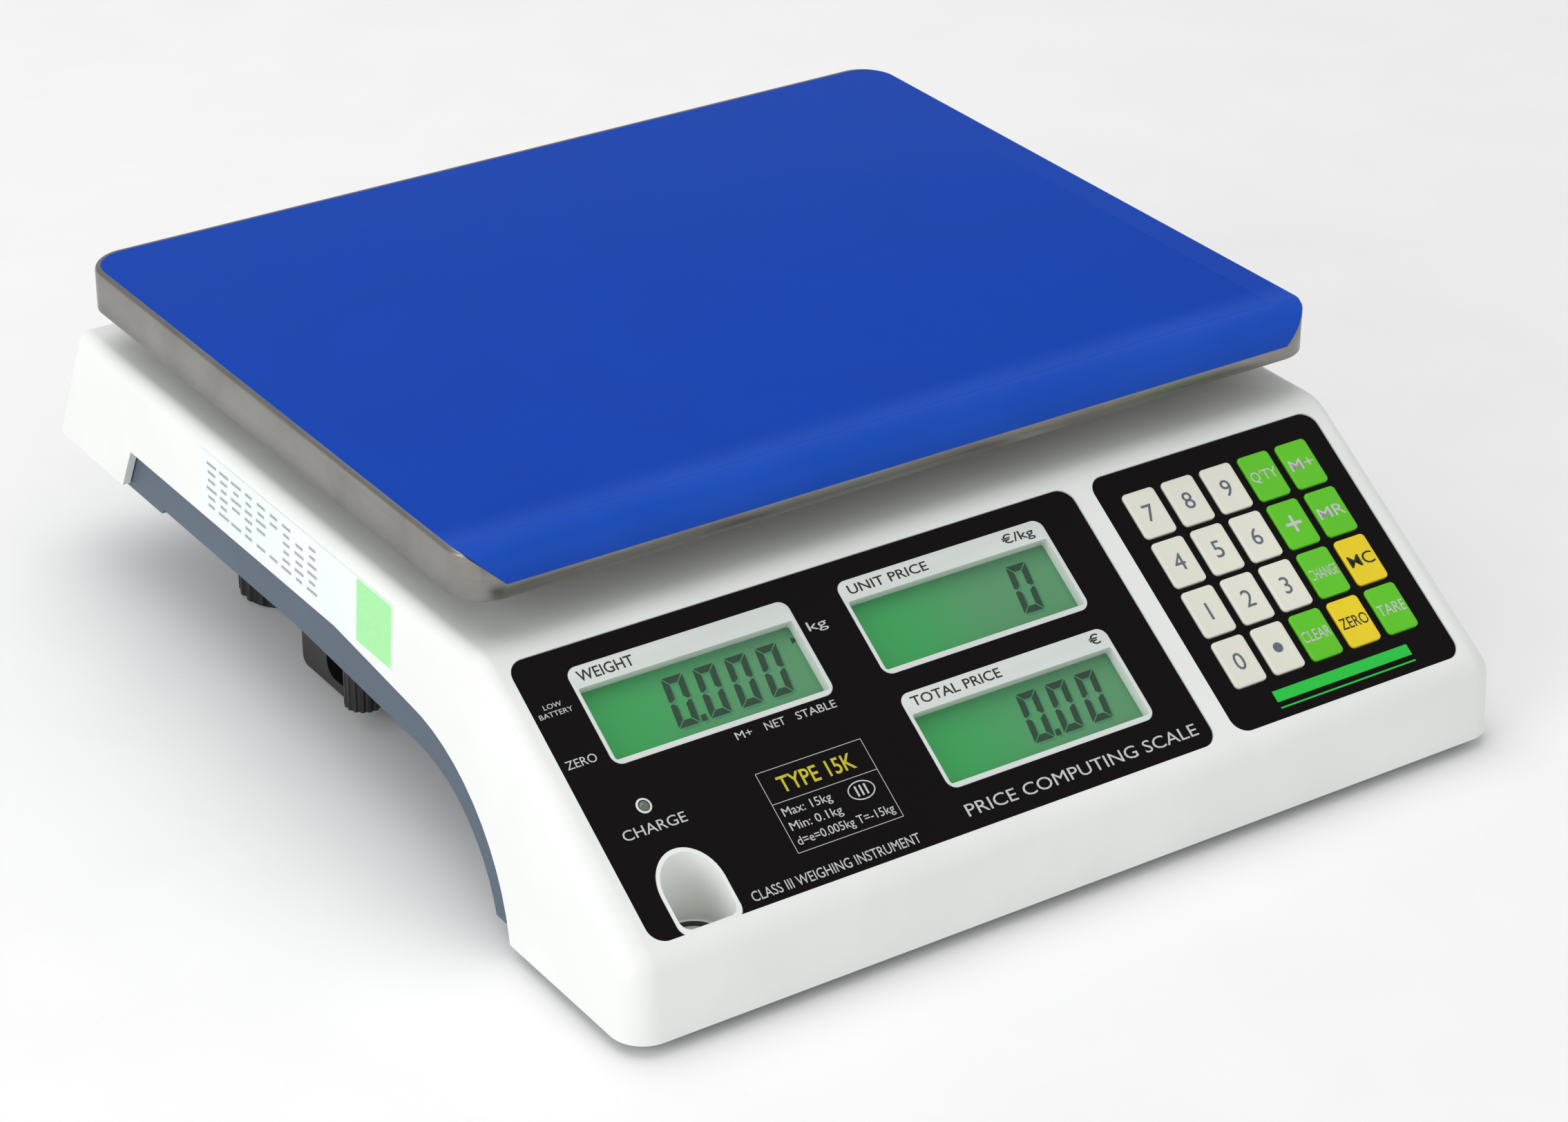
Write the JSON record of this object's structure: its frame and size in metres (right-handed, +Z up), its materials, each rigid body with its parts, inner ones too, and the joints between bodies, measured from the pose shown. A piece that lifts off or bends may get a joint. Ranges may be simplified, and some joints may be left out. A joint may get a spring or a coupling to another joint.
{
  "type": "price-computing retail scale",
  "caption": "Counter scale with a flat steel weighing pan over a sloped panel of displays and keys, on levelling feet.",
  "frame": {"origin": "on the table under the middle of the body", "axes": "+X to the operator's right, +Y from the operator's side to the customer's side, +Z up"},
  "size_m": [0.303, 0.345, 0.1093],
  "materials": {
    "stainless": "brushed",
    "blue_film": "gloss",
    "cast_aluminium": "cast",
    "machined_aluminium": "satin",
    "rubber": "matte",
    "plated_steel": "satin",
    "brass": "satin",
    "white_plastic": "fine texture",
    "slate_plastic": "fine texture",
    "black_plastic": "satin",
    "silver_plastic": "satin",
    "panel_film": "satin",
    "lcd": "gloss",
    "led_lens": "gloss",
    "circuit_board": "satin",
    "vial_glass": "clear",
    "iron": "laminated",
    "battery_case": "satin",
    "red_plastic": "satin",
    "label": "paper",
    "key_ivory": "satin",
    "key_green": "satin",
    "key_yellow": "satin"
  },
  "bodies": {
    "housing": {"load_cell": "machined_aluminium", "cell_spacer": "machined_aluminium", "cell_bolts": "plated_steel", "overload_stop": "plated_steel", "upper_housing": "white_plastic", "base": "slate_plastic", "base_screws": "plated_steel", "foot_inserts": "brass", "display_overlay": "panel_film", "display_frames": "silver_plastic", "weight_lcd": "lcd", "unit_price_lcd": "lcd", "total_price_lcd": "lcd", "display_board": "circuit_board", "charge_led": "led_lens", "level_vial": "black_plastic", "level_glass": "vial_glass", "keypad_overlay": "panel_film", "keypad_membrane": "rubber", "keypad_board": "circuit_board", "customer_overlay": "panel_film", "customer_lcds": "lcd", "main_board": "circuit_board", "transformer": "iron", "battery": "battery_case", "power_inlet": "black_plastic", "inlet_pins": "plated_steel", "switch_case": "black_plastic", "rating_label": "label"},
    "platform": {"pan_spider": "cast_aluminium", "pan_cushions": "rubber", "platform_bolts": "plated_steel"},
    "weighing_pan": {"pan": "stainless", "pan_film": "blue_film"},
    "foot_front_left_screw": {"foot_front_left": "black_plastic"},
    "foot_front_right_screw": {"foot_front_right": "black_plastic"},
    "foot_rear_left_screw": {"foot_rear_left": "black_plastic"},
    "foot_rear_right_screw": {"foot_rear_right": "black_plastic"},
    "fuse_knob": {"fuse_cap": "black_plastic"},
    "power_rocker": {"switch_rocker": "red_plastic"},
    "key_7_cap": {"key_7": "key_ivory"},
    "key_8_cap": {"key_8": "key_ivory"},
    "key_9_cap": {"key_9": "key_ivory"},
    "key_quantity_cap": {"key_quantity": "key_green"},
    "key_memory_add_cap": {"key_memory_add": "key_green"},
    "key_4_cap": {"key_4": "key_ivory"},
    "key_5_cap": {"key_5": "key_ivory"},
    "key_6_cap": {"key_6": "key_ivory"},
    "key_plus_cap": {"key_plus": "key_green"},
    "key_memory_recall_cap": {"key_memory_recall": "key_green"},
    "key_1_cap": {"key_1": "key_ivory"},
    "key_2_cap": {"key_2": "key_ivory"},
    "key_3_cap": {"key_3": "key_ivory"},
    "key_change_cap": {"key_change": "key_green"},
    "key_memory_clear_cap": {"key_memory_clear": "key_yellow"},
    "key_0_cap": {"key_0": "key_ivory"},
    "key_point_cap": {"key_point": "key_ivory"},
    "key_clear_cap": {"key_clear": "key_green"},
    "key_zero_cap": {"key_zero": "key_yellow"},
    "key_tare_cap": {"key_tare": "key_green"}
  },
  "joints": [
    {"name": "platform_deflection", "type": "slide", "parent": "housing", "child": "platform", "axis": [0, 0, 1], "range_m": [-0.0005, 0], "stiffness_N_per_m": 300000, "deforming": ["load_cell"]},
    {"name": "pan_lift", "type": "slide", "parent": "platform", "child": "weighing_pan", "axis": [0, 0, 1], "range_m": [0, 0.06]},
    {"name": "foot_front_left_height", "type": "slide", "parent": "housing", "child": "foot_front_left_screw", "axis": [0, 0, 1], "range_m": [-0.003, 0.003]},
    {"name": "foot_front_right_height", "type": "slide", "parent": "housing", "child": "foot_front_right_screw", "axis": [0, 0, 1], "range_m": [-0.003, 0.003]},
    {"name": "foot_rear_left_height", "type": "slide", "parent": "housing", "child": "foot_rear_left_screw", "axis": [0, 0, 1], "range_m": [-0.003, 0.003]},
    {"name": "foot_rear_right_height", "type": "slide", "parent": "housing", "child": "foot_rear_right_screw", "axis": [0, 0, 1], "range_m": [-0.003, 0.003]},
    {"name": "fuse_cap_turn", "type": "hinge", "parent": "housing", "child": "fuse_knob", "pos_m": [-0.124, 0.02, 0.02], "axis": [0, 0, 1], "range_deg": [0, 90]},
    {"name": "power_switch", "type": "hinge", "parent": "housing", "child": "power_rocker", "pos_m": [0.085, 0.0355, 0.031], "axis": [0, 0, 1], "range_deg": [0, 16]},
    {"name": "key_7_press", "type": "slide", "parent": "housing", "child": "key_7_cap", "axis": [0, 0.5505, -0.8348], "range_m": [0, 0.0005], "stiffness_N_per_m": 4000},
    {"name": "key_8_press", "type": "slide", "parent": "housing", "child": "key_8_cap", "axis": [0, 0.5505, -0.8348], "range_m": [0, 0.0005], "stiffness_N_per_m": 4000},
    {"name": "key_9_press", "type": "slide", "parent": "housing", "child": "key_9_cap", "axis": [0, 0.5505, -0.8348], "range_m": [0, 0.0005], "stiffness_N_per_m": 4000},
    {"name": "key_quantity_press", "type": "slide", "parent": "housing", "child": "key_quantity_cap", "axis": [0, 0.5505, -0.8348], "range_m": [0, 0.0005], "stiffness_N_per_m": 4000},
    {"name": "key_memory_add_press", "type": "slide", "parent": "housing", "child": "key_memory_add_cap", "axis": [0, 0.5505, -0.8348], "range_m": [0, 0.0005], "stiffness_N_per_m": 4000},
    {"name": "key_4_press", "type": "slide", "parent": "housing", "child": "key_4_cap", "axis": [0, 0.5505, -0.8348], "range_m": [0, 0.0005], "stiffness_N_per_m": 4000},
    {"name": "key_5_press", "type": "slide", "parent": "housing", "child": "key_5_cap", "axis": [0, 0.5505, -0.8348], "range_m": [0, 0.0005], "stiffness_N_per_m": 4000},
    {"name": "key_6_press", "type": "slide", "parent": "housing", "child": "key_6_cap", "axis": [0, 0.5505, -0.8348], "range_m": [0, 0.0005], "stiffness_N_per_m": 4000},
    {"name": "key_plus_press", "type": "slide", "parent": "housing", "child": "key_plus_cap", "axis": [0, 0.5505, -0.8348], "range_m": [0, 0.0005], "stiffness_N_per_m": 4000},
    {"name": "key_memory_recall_press", "type": "slide", "parent": "housing", "child": "key_memory_recall_cap", "axis": [0, 0.5505, -0.8348], "range_m": [0, 0.0005], "stiffness_N_per_m": 4000},
    {"name": "key_1_press", "type": "slide", "parent": "housing", "child": "key_1_cap", "axis": [0, 0.5505, -0.8348], "range_m": [0, 0.0005], "stiffness_N_per_m": 4000},
    {"name": "key_2_press", "type": "slide", "parent": "housing", "child": "key_2_cap", "axis": [0, 0.5505, -0.8348], "range_m": [0, 0.0005], "stiffness_N_per_m": 4000},
    {"name": "key_3_press", "type": "slide", "parent": "housing", "child": "key_3_cap", "axis": [0, 0.5505, -0.8348], "range_m": [0, 0.0005], "stiffness_N_per_m": 4000},
    {"name": "key_change_press", "type": "slide", "parent": "housing", "child": "key_change_cap", "axis": [0, 0.5505, -0.8348], "range_m": [0, 0.0005], "stiffness_N_per_m": 4000},
    {"name": "key_memory_clear_press", "type": "slide", "parent": "housing", "child": "key_memory_clear_cap", "axis": [0, 0.5505, -0.8348], "range_m": [0, 0.0005], "stiffness_N_per_m": 4000},
    {"name": "key_0_press", "type": "slide", "parent": "housing", "child": "key_0_cap", "axis": [0, 0.5505, -0.8348], "range_m": [0, 0.0005], "stiffness_N_per_m": 4000},
    {"name": "key_point_press", "type": "slide", "parent": "housing", "child": "key_point_cap", "axis": [0, 0.5505, -0.8348], "range_m": [0, 0.0005], "stiffness_N_per_m": 4000},
    {"name": "key_clear_press", "type": "slide", "parent": "housing", "child": "key_clear_cap", "axis": [0, 0.5505, -0.8348], "range_m": [0, 0.0005], "stiffness_N_per_m": 4000},
    {"name": "key_zero_press", "type": "slide", "parent": "housing", "child": "key_zero_cap", "axis": [0, 0.5505, -0.8348], "range_m": [0, 0.0005], "stiffness_N_per_m": 4000},
    {"name": "key_tare_press", "type": "slide", "parent": "housing", "child": "key_tare_cap", "axis": [0, 0.5505, -0.8348], "range_m": [0, 0.0005], "stiffness_N_per_m": 4000}
  ]
}
